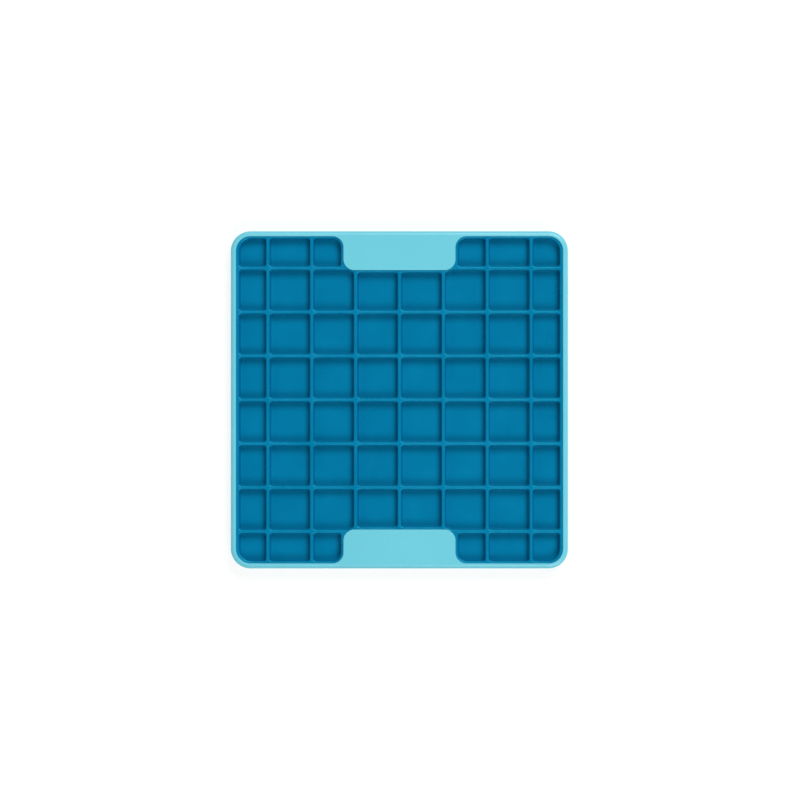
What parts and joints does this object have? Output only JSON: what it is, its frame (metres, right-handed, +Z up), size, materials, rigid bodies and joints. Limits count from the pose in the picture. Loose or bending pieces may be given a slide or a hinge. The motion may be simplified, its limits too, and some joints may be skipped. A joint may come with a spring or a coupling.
{
  "type": "lick mat",
  "caption": "Square pet lick mat: hard plastic tray with raised rim and grip tabs, holding a soft rubber insert whose thin walls form a grid of shallow food pockets.",
  "frame": {"origin": "middle of the tray's flat underside", "axes": "+Z up out of the pockets, +Y towards the tab at the top of the picture, +X to its right"},
  "size_m": [0.2, 0.2, 0.011],
  "materials": {
    "tray_plastic": "satin moulded polypropylene, light turquoise",
    "insert_rubber": "satin moulded thermoplastic rubber, deep sky blue"
  },
  "bodies": {
    "root": {"tray": "tray_plastic", "insert": "insert_rubber"}
  },
  "joints": []
}
